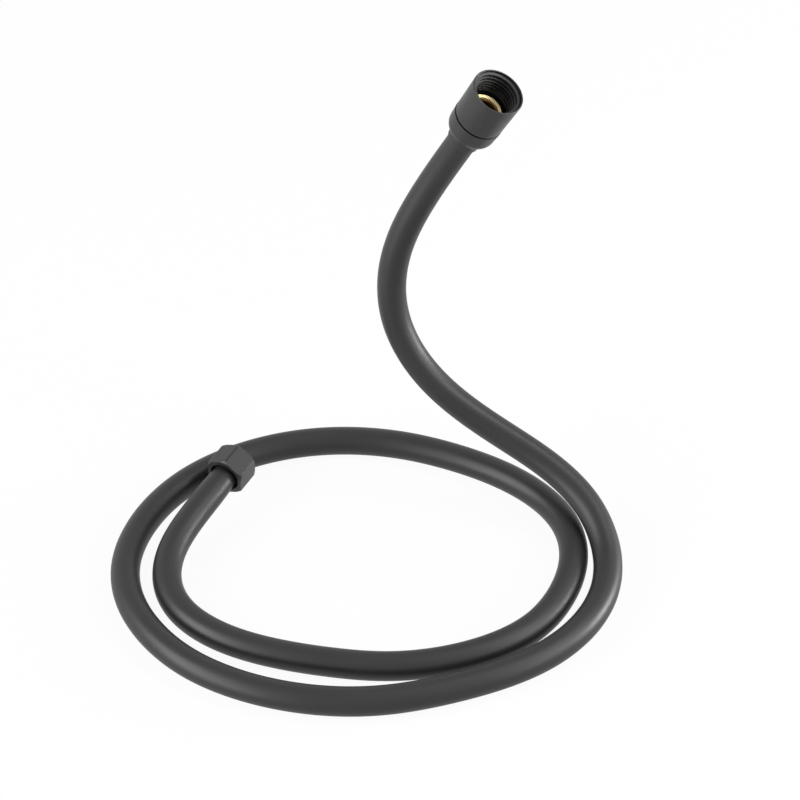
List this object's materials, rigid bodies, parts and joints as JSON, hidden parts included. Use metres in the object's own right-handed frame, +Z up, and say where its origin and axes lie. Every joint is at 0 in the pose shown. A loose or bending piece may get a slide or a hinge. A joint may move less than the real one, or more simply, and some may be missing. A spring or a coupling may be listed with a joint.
{
  "type": "shower hose",
  "caption": "Smooth black shower hose with a round swivel nut for a hand shower and a hexagon nut, lying in a coil with one end standing up.",
  "frame": {"origin": "on the floor, below the middle of the bounding box of the coil and its raised end", "axes": "+Z up, +X along the coil's long way, from the hexagon nut's side to the raised end's side; +Y from the front of the coil to its back"},
  "size_m": [0.2444, 0.1993, 0.2404],
  "materials": {
    "black_hose": "smooth soft plastic, matt to satin",
    "black_nut": "matt black coating on brass",
    "brass": "turned, uncoated",
    "spring_steel": "stamped ring",
    "black_rubber": "moulded",
    "white_plastic": "slippery ring"
  },
  "bodies": {
    "hose_body": {"hose": "black_hose", "handset_tail": "brass", "retaining_clip": "spring_steel", "glide_ring": "white_plastic", "swivel_collar": "black_nut", "crimp_sleeve": "black_nut", "hex_tail": "brass", "hex_washer": "black_rubber"},
    "spindle_body": {"swivel_spindle": "brass", "spindle_seal": "black_rubber"},
    "handset_nut_body": {"handset_nut": "black_nut"},
    "hex_nut_body": {"hex_nut": "black_nut"}
  },
  "joints": [
    {"name": "swivel", "type": "hinge", "parent": "hose_body", "child": "spindle_body", "pos_m": [0.05065, 0.07365, 0.21358], "axis": [0.41, -0.251, 0.8769], "continuous": true},
    {"name": "handset_nut_turn", "type": "hinge", "parent": "spindle_body", "child": "handset_nut_body", "pos_m": [0.05331, 0.07201, 0.21928], "axis": [0.41, -0.251, 0.8769], "continuous": true},
    {"name": "hex_nut_turn", "type": "hinge", "parent": "hose_body", "child": "hex_nut_body", "pos_m": [-0.0679, 0.05686, 0.0175], "axis": [0.498, 0.8609, 0.104], "continuous": true}
  ]
}
